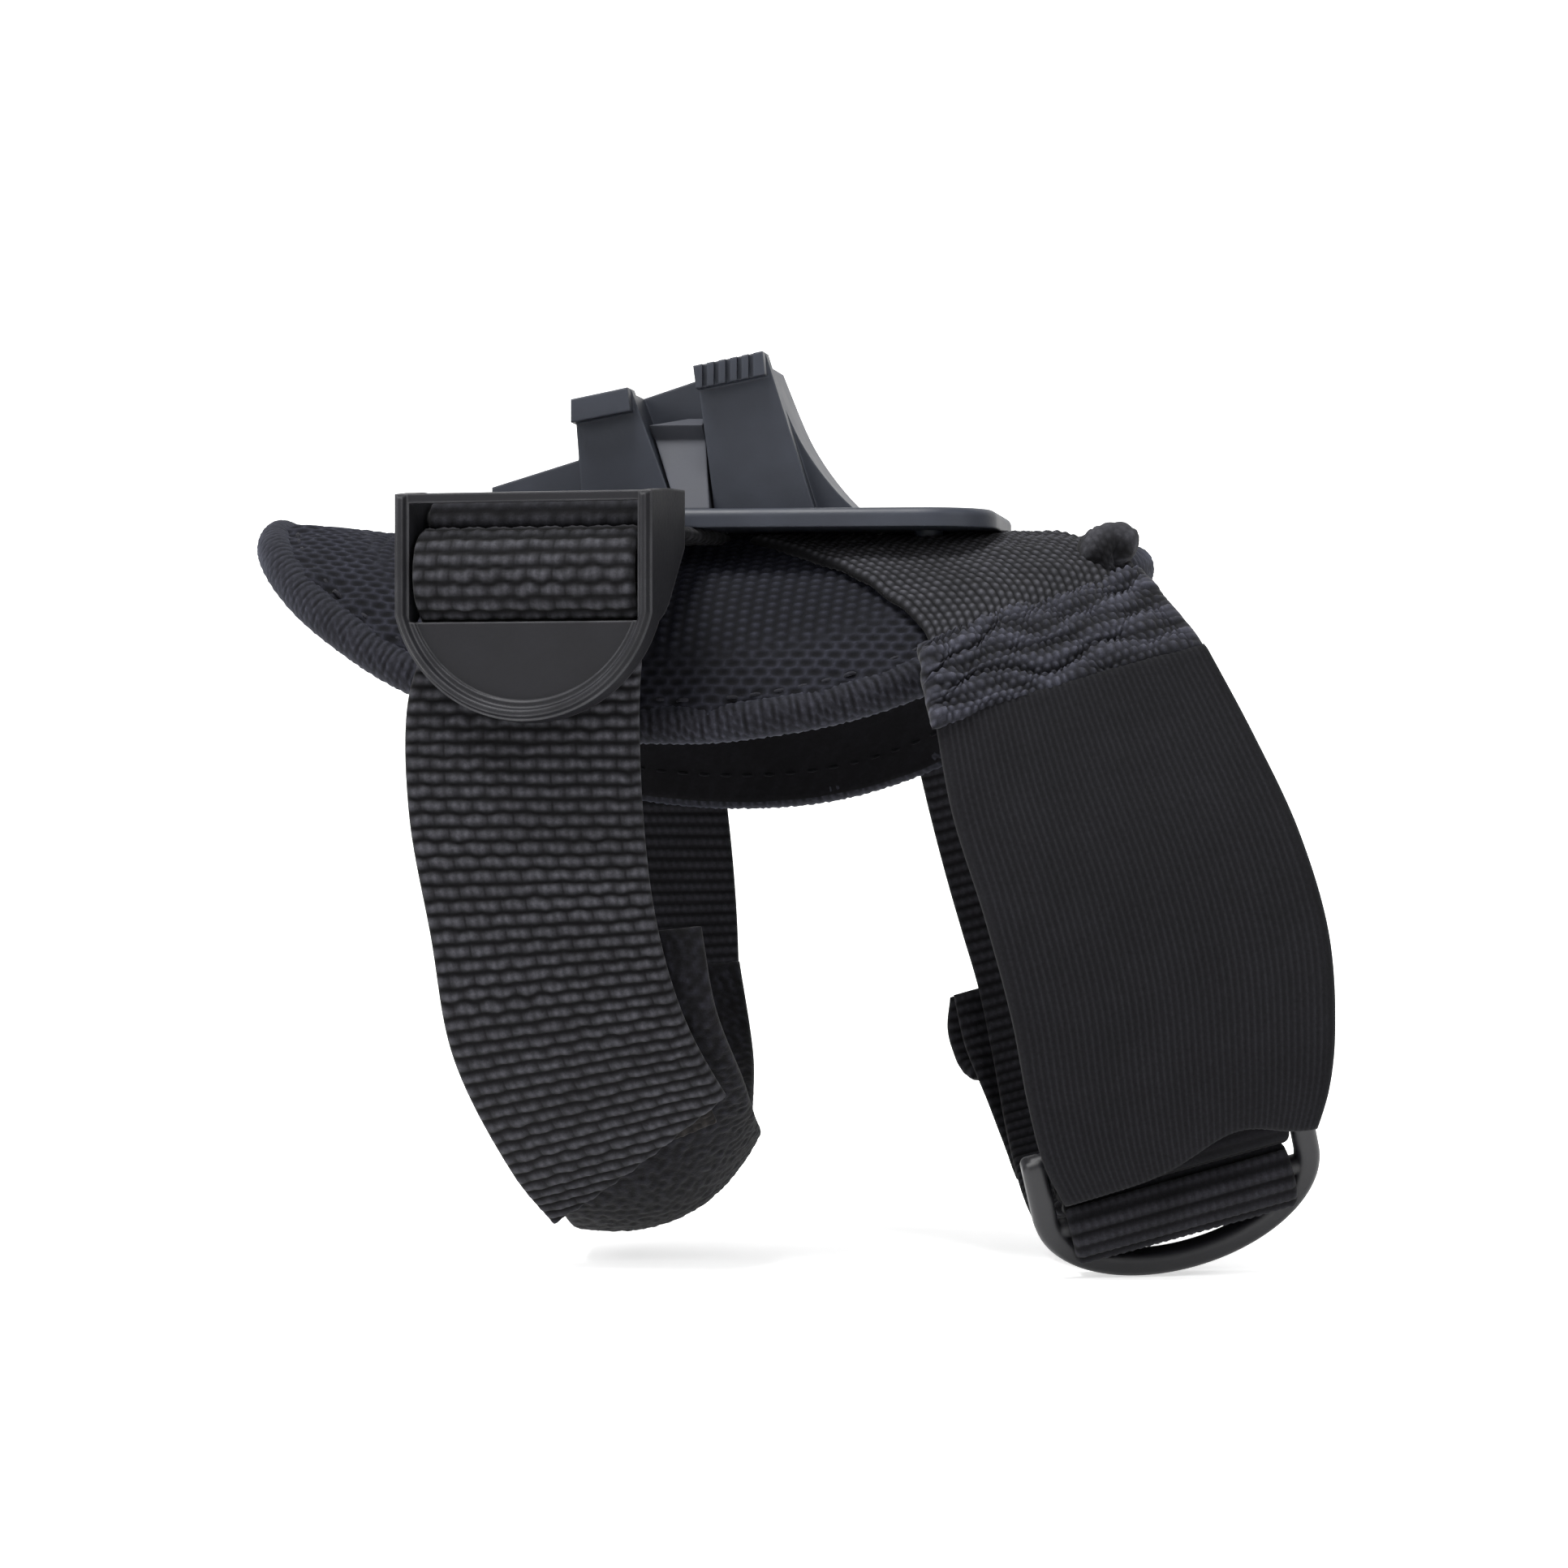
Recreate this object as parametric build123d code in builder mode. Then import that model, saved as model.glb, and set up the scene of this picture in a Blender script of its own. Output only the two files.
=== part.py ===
from build123d import *
import os
from math import cos, degrees, radians, sin

# Strap-on harness mount for a wrist or forearm. Millimetres.
# The origin is on the underside of the pad, on its ridge. +X runs along the limb, +Y points to
# the rear straps and +Z points up, out of the cradle.

os.makedirs("parts", exist_ok=True)

# Webbing
webbing_width = 25.0
webbing_thickness = 1.5

# Pad: layers of a tube round the limb, trimmed to an oval
limb_radius = 29.0
lining_thickness = 0.8
foam_thickness = 3.4
cover_thickness = 0.8
pad_middle_x = -1.0
pad_half_length = 50.4
front_reach = 36.5
rear_reach = 44.5
binding_width = 3.8
binding_proud = 0.3

# Plate and cradle
plate_left = -26.0
plate_right = 33.0
plate_depth = 34.0
plate_bottom = 6.6
plate_thickness = 2.1
rivet_radius = 1.6
rivet_spots = [(-17, -10.5), (-17, 10.5), (25, -5), (25, 5)]
cradle_front = -6.0
cradle_back = 7.0

# Left ladder-lock buckle
buckle_width = 29.0
buckle_yaw = 9.0
buckle_middle = (-14.8, -36.8, 8.9)
tab_height = 10.6
window_height = 12.8
rail_depth = 9.0

# Loops: each lies in a leaning plane across the limb
left_loop_x = -17.5
left_lean = 7.0
left_loop_radius = 34.0
left_loop_drop = -37.0
right_loop_x = 35.6
right_lean = 15.0
right_yaw = 11.0
right_loop_radius = 32.0
right_loop_drop = -38.0
ring_angle = 38.7
ring_line = 35.2
ring_tilt_degrees = 25.0
ring_slide = -3.8
neoprene_width = 34.0
neoprene_thickness = 2.2
layer_gap = 0.3

# Worked out from the above
foam_radius = limb_radius + lining_thickness
cover_radius = foam_radius + foam_thickness
pad_radius = cover_radius + cover_thickness
pad_thickness = pad_radius - limb_radius
middle_radius = limb_radius + pad_thickness / 2
strap_radius = pad_radius + webbing_thickness
plate_top = plate_bottom + plate_thickness


def save(piece, name):
    """Label a finished piece and write its file."""
    piece.part.label = name
    export_step(piece.part, "parts/" + name + ".step")


def ring_layer(inner, outer, start, length):
    """Tube round the limb's axis, from x = start."""
    with BuildPart() as layer:
        with BuildSketch(Plane(origin=(start, 0, -limb_radius), x_dir=(0, 1, 0), z_dir=(1, 0, 0))):
            Circle(outer)
            Circle(inner, mode=Mode.SUBTRACT)
        extrude(amount=length)
    return layer.part


def oval_wedge(inset):
    """Solid spreading from the limb's axis, which trims a layer to the pad's oval."""
    with BuildPart() as wedge:
        for step in range(9):
            turn = radians(12 + 19.5 * step)
            station = pad_middle_x - (pad_half_length - inset) * cos(turn)
            front = 90 + degrees((front_reach - inset) * sin(turn) / middle_radius)
            rear = 90 - degrees((rear_reach - inset) * sin(turn) / middle_radius)
            with BuildSketch(Plane(origin=(station, 0, -limb_radius), x_dir=(0, 1, 0), z_dir=(1, 0, 0))):
                with BuildLine():
                    rim = CenterArc((0, 0), pad_radius + 12, rear, front - rear)
                    Line(rim @ 1, (0, 0))
                    Line((0, 0), rim @ 0)
                make_face()
        loft()
    return wedge.part


def pad_layer(inner, outer, trim):
    return ring_layer(inner, outer, -60, 120) & trim


def rivets(bottom, top):
    """The four rivet shanks as one cutter."""
    with BuildPart() as shanks:
        with BuildSketch(Plane.XY.offset(bottom)):
            with Locations(*rivet_spots):
                Circle(rivet_radius)
        extrude(amount=top - bottom)
    return shanks.part


# --- Pad -------------------------------------------------------------------------------------

whole_oval = oval_wedge(0)
inner_oval = oval_wedge(binding_width)
rivet_cutter = rivets(2.0, plate_top + 1)

with BuildPart() as backing_plate:
    with BuildSketch(Plane.XY.offset(-10)):
        with Locations((3, 0)):
            RectangleRounded(56, 27, 5)
    extrude(amount=20)
    add(ring_layer(cover_radius - 1.0, cover_radius, -60, 120), mode=Mode.INTERSECT)
    add(rivet_cutter, mode=Mode.SUBTRACT)
save(backing_plate, "backing_plate")

with BuildPart() as pad_cover:
    add(pad_layer(cover_radius, pad_radius, inner_oval))
    add(rivet_cutter, mode=Mode.SUBTRACT)
save(pad_cover, "pad_cover")

with BuildPart() as pad_foam:
    add(pad_layer(foam_radius, cover_radius, inner_oval))
    add(backing_plate.part, mode=Mode.SUBTRACT)
    add(rivet_cutter, mode=Mode.SUBTRACT)
save(pad_foam, "pad_foam")

with BuildPart() as pad_lining:
    add(pad_layer(limb_radius, foam_radius, inner_oval))
save(pad_lining, "pad_lining")

with BuildPart() as pad_binding:
    add(pad_layer(limb_radius - binding_proud, pad_radius + binding_proud, whole_oval))
    add(inner_oval, mode=Mode.SUBTRACT)
save(pad_binding, "pad_binding")

fold_start = Vector(44.2, -15.0, 1.6)
fold_end = Vector(50.6, -4.6, 5.2)
fold_radius = 2.1
with BuildPart() as binding_fold:
    with BuildSketch(Plane(origin=fold_start, z_dir=fold_end - fold_start)):
        Circle(fold_radius)
    extrude(amount=(fold_end - fold_start).length)
    fillet(binding_fold.edges().filter_by(GeomType.CIRCLE), fold_radius * 0.8)
    add(whole_oval & ring_layer(20, pad_radius + binding_proud, -60, 120), mode=Mode.SUBTRACT)
save(binding_fold, "binding_fold")


# --- Plate with its cradle -------------------------------------------------------------------

# Each claw: left and right of its top, height at its left, then left and right of its foot
claw_spans = [(-14.6, -8.2, 21.3, -13.6, -2.9), (-0.8, 7.0, 24.9, 1.4, 12.8)]
claw_foot = plate_top - 0.5
claw_slope = 0.2
lip_height = 2.6


def claw_edge(foot, top, top_height, height):
    """x of a claw's leaning edge at a height."""
    return foot + (top - foot) * (height - claw_foot) / (top_height - claw_foot)


def channel_wall(height):
    """Left and right walls of the channel between the claws at a height."""
    first, second = claw_spans
    first_top = first[2] + claw_slope * (first[1] - first[0])
    return claw_edge(first[4], first[1], first_top, height), claw_edge(second[3], second[0], second[2], height)


with BuildPart() as mount_base:
    with BuildSketch(Plane.XY.offset(plate_bottom)):
        with Locations(((plate_left + plate_right) / 2, 0)):
            RectangleRounded(plate_right - plate_left, plate_depth, 8)
    extrude(amount=plate_thickness)
    fillet(mount_base.faces().sort_by(Axis.Z)[-1].edges(), 0.9)
    # Tower: leans to the left, with a concave flank on the right and a ramp on the left
    with BuildSketch(Plane.XZ.offset(-cradle_back)):
        with BuildLine():
            foot = Line((-24.5, plate_top - 0.5), (19.0, plate_top - 0.5))
            curve = Spline((19.0, plate_top - 0.5), (16.6, plate_top + 0.5), (11.8, 14.8), (7.0, 25.2),
                           tangents=((-1, 0), (-0.4, 1)))
            Polyline(curve @ 1, (-0.8, 24.4), (-8.2, 22.0), (-14.0, 19.6), (-14.6, 14.8), (-24.5, 11.8), foot @ 0)
        make_face()
    extrude(amount=cradle_back - cradle_front)
    # Claws: standing plates on the tower's front, each with a lip hooked forward at its top
    for left, right, top, foot_left, foot_right in claw_spans:
        slope = (right - left) * claw_slope
        with BuildSketch(Plane.XZ.offset(-cradle_front)):
            Polygon((foot_left, claw_foot), (foot_right, claw_foot), (right, top + slope), (left, top), align=None)
        extrude(amount=2.6)
        with BuildSketch(Plane.XZ.offset(-cradle_front)):
            Polygon((left, top - lip_height), (right + 0.3, top - lip_height + slope), (right, top + slope),
                    (left, top), align=None)
        extrude(amount=5.0)
    # Channel for the sprung tongue
    with BuildSketch(Plane.XZ.offset(-cradle_front + 6)):
        wall_left, wall_right = channel_wall(plate_top)
        high_left, high_right = channel_wall(30)
        Polygon((wall_left, plate_top), (wall_right, plate_top), (high_right, 30), (high_left, 30), align=None)
    extrude(amount=-11.5, mode=Mode.SUBTRACT)
    # Ribs on the right claw's lip
    rib_left, rib_top = claw_spans[1][0], claw_spans[1][2]
    with BuildSketch(Plane.XZ.offset(-cradle_front + 5.0)):
        with Locations(*[(rib_left + 1.3 + 1.3 * step, rib_top - 0.8 + 0.26 * step) for step in range(5)]):
            Rectangle(0.55, 4.2)
    extrude(amount=-0.6, mode=Mode.SUBTRACT)
    # Rib down the back that stiffens the web
    with BuildSketch(Plane.XZ.offset(-cradle_back)):
        Polygon((-12, plate_top - 0.5), (11, plate_top - 0.5), (4, 21), (-10, 18), align=None)
    extrude(amount=3.5, taper=20, mode=Mode.SUBTRACT)
    add(rivet_cutter, mode=Mode.SUBTRACT)
save(mount_base, "mount_base")

tongue_foot_y = -9.6
tongue_head_y = -5.2
tongue_top = 18.6
with BuildPart() as latch_tongue:
    with BuildSketch(Plane.YZ.offset(-9)):
        Polygon((tongue_foot_y - 0.8, plate_top + 0.25), (tongue_foot_y + 2.6, plate_top + 0.25),
                (tongue_head_y + 1.4, tongue_top - 0.6), (tongue_head_y + 1.4, tongue_top + 0.9),
                (tongue_head_y - 1.2, tongue_top), (tongue_head_y - 0.4, tongue_top - 1.6), align=None)
    extrude(amount=12)
    with BuildSketch(Plane.XZ):
        Polygon((-2.6, plate_top), (1.0, plate_top), (-0.6, 19.9), (-6.5, 18.6), align=None)
    extrude(amount=12, mode=Mode.INTERSECT)
save(latch_tongue, "latch_tongue")

with BuildPart() as plate_rivets:
    add(rivets(2.0, plate_top - 0.1))
    chamfer(plate_rivets.faces().sort_by(Axis.Z)[-4:].edges(), 0.2)
save(plate_rivets, "plate_rivets")


# --- Left buckle -----------------------------------------------------------------------------

yaw = radians(buckle_yaw)
buckle_right = Vector(cos(yaw), -sin(yaw), 0)
buckle_rear = Vector(sin(yaw), cos(yaw), 0)
# Seen from the front: local x is across the webbing and local y is up, z points to the front
buckle_front = Plane(origin=buckle_middle, x_dir=buckle_right, z_dir=-buckle_rear)
# Seen from the side: local x is to the rear and local y is up
buckle_side = Plane(origin=buckle_middle, x_dir=buckle_rear, z_dir=buckle_right)
half_slot = webbing_width / 2 + 0.4
bar_y = 5.0
bar_z = -2.0
bar_radius = 0.9
crossbar_depth = 1.4
crossbar_height = -7.6
face_front = 1.6
lip_width = 1.5
tab_edge = -0.5 - window_height
tab_bottom = tab_edge - tab_height
tab_shoulder = -12.5


def tab_outline(half_width, top, shoulder, bottom):
    """Outline with a straight top, straight sides and a round lower end."""
    with BuildSketch() as outline:
        with BuildLine():
            Polyline((-half_width, shoulder), (-half_width, top), (half_width, top), (half_width, shoulder))
            ThreePointArc((half_width, shoulder), (0, bottom), (-half_width, shoulder))
        make_face()
    return outline.sketch


with BuildPart() as left_buckle:
    with BuildSketch(buckle_front.offset(face_front)):
        add(tab_outline(buckle_width / 2, 0.5, tab_shoulder, tab_bottom))
    extrude(amount=-rail_depth, taper=-5)
    with BuildSketch(buckle_side):
        Polygon((-face_front, 0.9), (rail_depth, 0.9), (rail_depth, -3), (3.0, -11.5), (0.9, tab_edge),
                (0.9, tab_bottom - 1), (-face_front, tab_bottom - 1), align=None)
    extrude(amount=20, both=True, mode=Mode.INTERSECT)
    with BuildSketch(buckle_front.offset(face_front + 1)):
        with Locations((0, (tab_edge - 0.5) / 2)):
            Rectangle(2 * half_slot, window_height)
    extrude(amount=-15, mode=Mode.SUBTRACT)
    with BuildSketch(buckle_front.offset(0.2)):
        with Locations((0, 1.5)):
            Rectangle(2 * half_slot, 4.2)
    extrude(amount=-15, mode=Mode.SUBTRACT)
    # Satin face of the tab, sunk inside a raised rim
    with BuildSketch(buckle_front.offset(face_front)):
        add(tab_outline(buckle_width / 2 - 1.9, tab_edge + 1, tab_shoulder, tab_bottom + 2.1))
    extrude(amount=-0.5, mode=Mode.SUBTRACT)
    # Raised lip down both rails and round the tab
    with BuildSketch(buckle_front.offset(face_front - 0.2)):
        add(tab_outline(buckle_width / 2 - 0.1, 0.5, tab_shoulder, tab_bottom + 0.1))
        add(tab_outline(buckle_width / 2 - lip_width, 4.0, tab_shoulder, tab_bottom + lip_width), mode=Mode.SUBTRACT)
    extrude(amount=0.9, taper=25)
    # Anchor bar at the rear and crossbar in the middle
    with BuildSketch(buckle_side.offset(-half_slot - 0.5)):
        with Locations((bar_y, bar_z)):
            Circle(bar_radius)
        with Locations((crossbar_depth, crossbar_height)):
            RectangleRounded(2.2, 3.2, 0.8)
    extrude(amount=2 * half_slot + 1)
save(left_buckle, "left_buckle")

wrap_inner = 1.3
wrap_outer = wrap_inner + webbing_thickness
wrap_end = -12.6
with BuildPart() as left_band_wrap:
    with BuildSketch(buckle_side.offset(-webbing_width / 2)):
        with Locations((crossbar_depth, crossbar_height + 0.6)):
            Circle(wrap_outer)
        with Locations((crossbar_depth, (crossbar_height + 0.6 + wrap_end) / 2)):
            Rectangle(2 * wrap_outer, crossbar_height + 0.6 - wrap_end)
        with Locations((crossbar_depth, crossbar_height + 0.6)):
            Circle(wrap_inner, mode=Mode.SUBTRACT)
        with Locations((crossbar_depth, (crossbar_height + 0.6 + wrap_end) / 2)):
            Rectangle(2 * wrap_inner, crossbar_height + 0.6 - wrap_end, mode=Mode.SUBTRACT)
    extrude(amount=webbing_width)
    add(left_buckle.part, mode=Mode.SUBTRACT)
save(left_band_wrap, "left_band_wrap")

loop_inner = bar_radius + 0.15
loop_outer = loop_inner + 1.4
with BuildPart() as left_anchor_webbing:
    with BuildSketch(buckle_side.offset(-webbing_width / 2)):
        with Locations((bar_y, bar_z)):
            Circle(loop_outer)
        plate_entry = 17.0
        under_plate = plate_bottom - 0.05 - buckle_middle[2]
        Polygon((bar_y, bar_z + loop_outer), (plate_entry - 2, under_plate), (36, under_plate),
                (36, under_plate - 1.4), (plate_entry - 2, under_plate - 1.4), (bar_y, bar_z + loop_inner),
                align=None)
        Polygon((bar_y, bar_z - loop_outer), (bar_y, bar_z - loop_inner), (plate_entry - 3, under_plate - 1.5),
                (plate_entry - 3, under_plate - 2.9), align=None)
        with Locations((bar_y, bar_z)):
            Circle(loop_inner, mode=Mode.SUBTRACT)
    extrude(amount=webbing_width)
    add(rivet_cutter, mode=Mode.SUBTRACT)
save(left_anchor_webbing, "left_anchor_webbing")


# --- Left loop -------------------------------------------------------------------------------

lean = radians(left_lean)
left_across = Vector(cos(lean), 0, sin(lean))
left_plane = Plane(origin=(left_loop_x, 0, 0), x_dir=(0, 1, 0), z_dir=left_across)
band_line = left_loop_radius
hook_thickness = 1.0
tape_thickness = 1.6
hook_line = band_line - webbing_thickness / 2 - hook_thickness / 2
tape_line = hook_line - hook_thickness / 2 - layer_gap - tape_thickness / 2


def bottom_strap(plane, drop, line, thickness, front_top, start, finish, width):
    """Ribbon down the front and round the bottom, between two angles counted from the front."""
    with BuildPart() as ribbon:
        with BuildSketch(plane):
            with BuildLine():
                bend = CenterArc((0, drop), line, 180 + start, finish - start)
                if front_top is not None:
                    Line((-line, front_top), bend @ 0)
            trace(line_width=thickness)
        extrude(amount=width / 2, both=True)
    return ribbon.part


twist_from = -20.0
with BuildPart() as left_front_band:
    add(bottom_strap(left_plane, left_loop_drop, band_line, webbing_thickness, twist_from, 0, 75,
                     webbing_width))
    # The end is cut on the slant
    slant_face = Plane(origin=left_plane.from_local_coords((0, left_loop_drop, 0)),
                       x_dir=left_plane.from_local_coords((-0.56, -0.83, 0)) - left_plane.origin,
                       z_dir=left_plane.from_local_coords((-0.62, 0.42, -0.66)) - left_plane.origin)
    split(bisect_by=slant_face, keep=Keep.TOP)
    # Above, it twists to run up behind the buckle's tab
    with BuildSketch(Plane(origin=left_plane.from_local_coords((-band_line, twist_from, 0)),
                           x_dir=left_across, z_dir=left_plane.y_dir)):
        Rectangle(webbing_width, webbing_thickness)
    with BuildSketch(Plane(origin=buckle_side.from_local_coords((2.1, tab_edge - 1.4, 0)),
                           x_dir=buckle_right, z_dir=(0, 0, 1))):
        Rectangle(webbing_width, webbing_thickness)
    loft()
save(left_front_band, "left_front_band")

with BuildPart() as left_hook_tape:
    add(bottom_strap(left_plane, left_loop_drop, hook_line, hook_thickness, None, 5, 40, webbing_width - 2))
save(left_hook_tape, "left_hook_tape")

with BuildPart() as left_loop_tape:
    add(bottom_strap(left_plane, left_loop_drop, tape_line, tape_thickness, None, 2, 160, webbing_width))
save(left_loop_tape, "left_loop_tape")


def strap_over_pad(plane, width, region):
    """Webbing lying on the pad: the layer just outside it, cut to a region of the loop's plane."""
    with BuildPart() as cutter:
        with BuildSketch(plane):
            Polygon(*region, align=None)
        extrude(amount=width / 2, both=True)
    return ring_layer(pad_radius, strap_radius, -70, 160) & cutter.part


def free_strap(plane, width, start, finish, leaving, arriving):
    """Webbing hanging free between two points of the loop's plane."""
    with BuildPart() as ribbon:
        with BuildSketch(plane):
            with BuildLine():
                Spline(start, finish, tangents=(leaving, arriving))
            trace(line_width=webbing_thickness)
        extrude(amount=width / 2, both=True)
    return ribbon.part


strap_line = pad_radius + webbing_thickness / 2
tape_stop = radians(19.7)
tape_end = (tape_line * cos(tape_stop), left_loop_drop - tape_line * sin(tape_stop))
with BuildPart() as left_back_strap:
    add(strap_over_pad(left_plane, webbing_width, [(3.0, 12), (3.0, -10), (30, -27), (50, -27), (50, 12)]))
    add(free_strap(left_plane, webbing_width, (strap_line, -26.5), tape_end, (0, -1),
                   (-sin(tape_stop), -cos(tape_stop))))
    add(rivet_cutter, mode=Mode.SUBTRACT)
    add(pad_binding.part, mode=Mode.SUBTRACT)
save(left_back_strap, "left_back_strap")


# --- Right loop ------------------------------------------------------------------------------

turn_back = radians(right_yaw)
tip_over = radians(right_lean)
right_across = Vector(cos(turn_back) * cos(tip_over), sin(turn_back) * cos(tip_over), sin(tip_over))
right_plane = Plane(origin=(right_loop_x, 0, 0), x_dir=(-sin(turn_back), cos(turn_back), 0),
                    z_dir=right_across)

with BuildPart() as right_webbing:
    add(ring_layer(pad_radius, strap_radius, 0, 60))
    with BuildSketch(Plane.XY.offset(-12)):
        Polygon((7, -8.3), (29.5, -26.8), (47, -8.6), (24.5, 9.8), align=None)
    extrude(amount=24, mode=Mode.INTERSECT)
    add(rivet_cutter, mode=Mode.SUBTRACT)
    add(binding_fold.part, mode=Mode.SUBTRACT)
    add(pad_binding.part, mode=Mode.SUBTRACT)
save(right_webbing, "right_webbing")

with BuildPart() as hem_cuff:
    with BuildSketch(right_plane):
        with BuildLine():
            Polyline((-27.4, -3.0), (-31.0, -8.0), (-32.2, -14.0))
        trace(line_width=3.2)
    extrude(amount=32 / 2, both=True)
    add(right_webbing.part, mode=Mode.SUBTRACT)
save(hem_cuff, "hem_cuff")

with BuildPart() as neoprene_band:
    with BuildSketch(right_plane):
        with BuildLine():
            sweep_down = CenterArc((0, right_loop_drop), right_loop_radius + 1, 180, ring_angle - 8)
            Spline((-32.3, -14.2), (-34.2, -26.0), sweep_down @ 0, tangents=((-0.3, -1), (0, -1)))
        trace(line_width=neoprene_thickness)
    extrude(amount=neoprene_width / 2, both=True)
    add(hem_cuff.part, mode=Mode.SUBTRACT)
save(neoprene_band, "neoprene_band")

# Ring: its anchor bar lies on the loop and its plane follows the loop's curve
ring_tilt = radians(ring_tilt_degrees)
ring_bar_local = (-ring_line * cos(radians(ring_angle)), right_loop_drop - ring_line * sin(radians(ring_angle)),
                  ring_slide)
ring_bar = right_plane.from_local_coords(ring_bar_local)
ring_up = right_plane.from_local_coords((-sin(ring_tilt), cos(ring_tilt), 0)) - right_plane.origin
ring_out = right_across.cross(ring_up)
ring_plane = Plane(origin=ring_bar, x_dir=right_across, z_dir=ring_out)
ring_side = Plane(origin=ring_bar, x_dir=-ring_out, z_dir=right_across)
ring_width = 32.0
ring_rim = 2.6
ring_height = 17.0
ring_thickness = 2.8
ring_bar_radius = 1.2
ring_crossbar = -8.4
ring_shoulder = -6.5


def ring_outline(half_width, top, bottom):
    """Outline with straight sides and a half ellipse below them."""
    with BuildSketch() as outline:
        with BuildLine():
            Polyline((-half_width, ring_shoulder), (-half_width, top), (half_width, top), (half_width, ring_shoulder))
            EllipticalCenterArc((0, ring_shoulder), half_width, ring_shoulder - bottom, 180, arc_size=180)
        make_face()
    return outline.sketch


with BuildPart() as right_buckle:
    with BuildSketch(ring_plane.offset(-ring_thickness / 2)):
        add(ring_outline(ring_width / 2, 1.0, -ring_height))
        add(ring_outline(ring_width / 2 - ring_rim, 4.0, -ring_height + ring_rim), mode=Mode.SUBTRACT)
    extrude(amount=ring_thickness)
    fillet(right_buckle.edges(), 0.8)
    with BuildSketch(ring_side.offset(-ring_width / 2 + 1.0)):
        Circle(ring_bar_radius)
        with Locations((0, ring_crossbar)):
            Circle(ring_bar_radius)
    extrude(amount=ring_width - 2.0)
save(right_buckle, "right_buckle")

anchor_inner = ring_bar_radius + 0.2
anchor_outer = anchor_inner + 1.3
with BuildPart() as right_anchor_loop:
    with BuildSketch(ring_side.offset(-webbing_width / 2)):
        Circle(anchor_outer)
        Polygon((-anchor_outer, 0), (anchor_outer, 0), (anchor_outer - 0.4, 5.6), (-anchor_outer + 1.3, 5.6),
                align=None)
        Circle(anchor_inner, mode=Mode.SUBTRACT)
    extrude(amount=webbing_width)
    add(neoprene_band.part, mode=Mode.SUBTRACT)
save(right_anchor_loop, "right_anchor_loop")

with BuildPart() as right_band_wrap:
    with BuildSketch(ring_side.offset(-webbing_width / 2)):
        with Locations((0, ring_crossbar)):
            Circle(anchor_outer)
        Polygon((-0.2, ring_crossbar - anchor_outer + 0.1), (0.4, ring_crossbar - anchor_inner + 0.4),
                (5.0, ring_crossbar - 3.6), (5.0, ring_crossbar - 5.6), align=None)
        with Locations((0, ring_crossbar)):
            Circle(ring_bar_radius, mode=Mode.SUBTRACT)
    extrude(amount=webbing_width)
    add(right_buckle.part, mode=Mode.SUBTRACT)
save(right_band_wrap, "right_band_wrap")

back_line = right_loop_radius
tail_line = back_line + webbing_thickness + layer_gap
strap_top = (strap_line + 0.6, -30.0)
under_stop = radians(-10)
with BuildPart() as right_back_strap:
    add(bottom_strap(right_plane, right_loop_drop, back_line, webbing_thickness, None, 66, 170, webbing_width))
    add(free_strap(right_plane, webbing_width, (back_line * cos(under_stop), right_loop_drop + back_line *
                   sin(under_stop)), strap_top, (-sin(under_stop), cos(under_stop)), (0, 1)))
    add(strap_over_pad(right_plane, webbing_width, [(13.5, 12), (13.5, -10), (30, -32), (50, -32), (50, 12)]))
    add(pad_binding.part, mode=Mode.SUBTRACT)
    add(rivet_cutter, mode=Mode.SUBTRACT)
save(right_back_strap, "right_back_strap")

with BuildPart() as right_tail:
    with BuildSketch(right_plane):
        with BuildLine():
            CenterArc((0, right_loop_drop), tail_line, 305, 44)
        trace(line_width=webbing_thickness)
    extrude(amount=webbing_width / 2, both=True)
save(right_tail, "right_tail")

fold_line = tail_line + webbing_thickness + 0.1
with BuildPart() as right_tail_fold:
    with BuildSketch(right_plane):
        with BuildLine():
            CenterArc((0, right_loop_drop), fold_line + 0.35, 334, 15)
        trace(line_width=webbing_thickness + 0.9)
    extrude(amount=webbing_width / 2, both=True)
    add(right_tail.part, mode=Mode.SUBTRACT)
save(right_tail_fold, "right_tail_fold")
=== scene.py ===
from math import cos, pi, radians, sin

import bmesh
import bpy
import numpy as np
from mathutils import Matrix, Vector


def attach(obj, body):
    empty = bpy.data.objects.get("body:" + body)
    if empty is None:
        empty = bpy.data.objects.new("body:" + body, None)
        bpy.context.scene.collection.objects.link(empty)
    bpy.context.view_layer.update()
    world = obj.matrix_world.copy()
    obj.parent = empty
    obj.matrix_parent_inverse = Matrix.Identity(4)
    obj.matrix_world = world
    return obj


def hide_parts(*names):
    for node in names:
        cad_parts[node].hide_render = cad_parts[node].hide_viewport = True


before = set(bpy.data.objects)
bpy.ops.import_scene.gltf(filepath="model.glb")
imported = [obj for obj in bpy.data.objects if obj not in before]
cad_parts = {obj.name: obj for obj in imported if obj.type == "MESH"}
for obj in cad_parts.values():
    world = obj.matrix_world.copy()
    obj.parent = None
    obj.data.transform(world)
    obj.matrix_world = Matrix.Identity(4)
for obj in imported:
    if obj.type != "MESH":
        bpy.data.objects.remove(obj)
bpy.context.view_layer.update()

# Lengths here are in millimetres; meshes are written in metres.
MM = 0.001
WEBBING = 25.0


# --- Small tools -----------------------------------------------------------------------------

def hump(x):
    """1 at whole numbers, 0 halfway between."""
    return 0.5 + 0.5 * np.cos(2 * pi * x)


def ridge(x, power=2.4):
    """Rounded ridge in the middle of each whole step, 0 between them."""
    return 1 - np.abs(2 * (x - np.floor(x)) - 1) ** power


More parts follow.
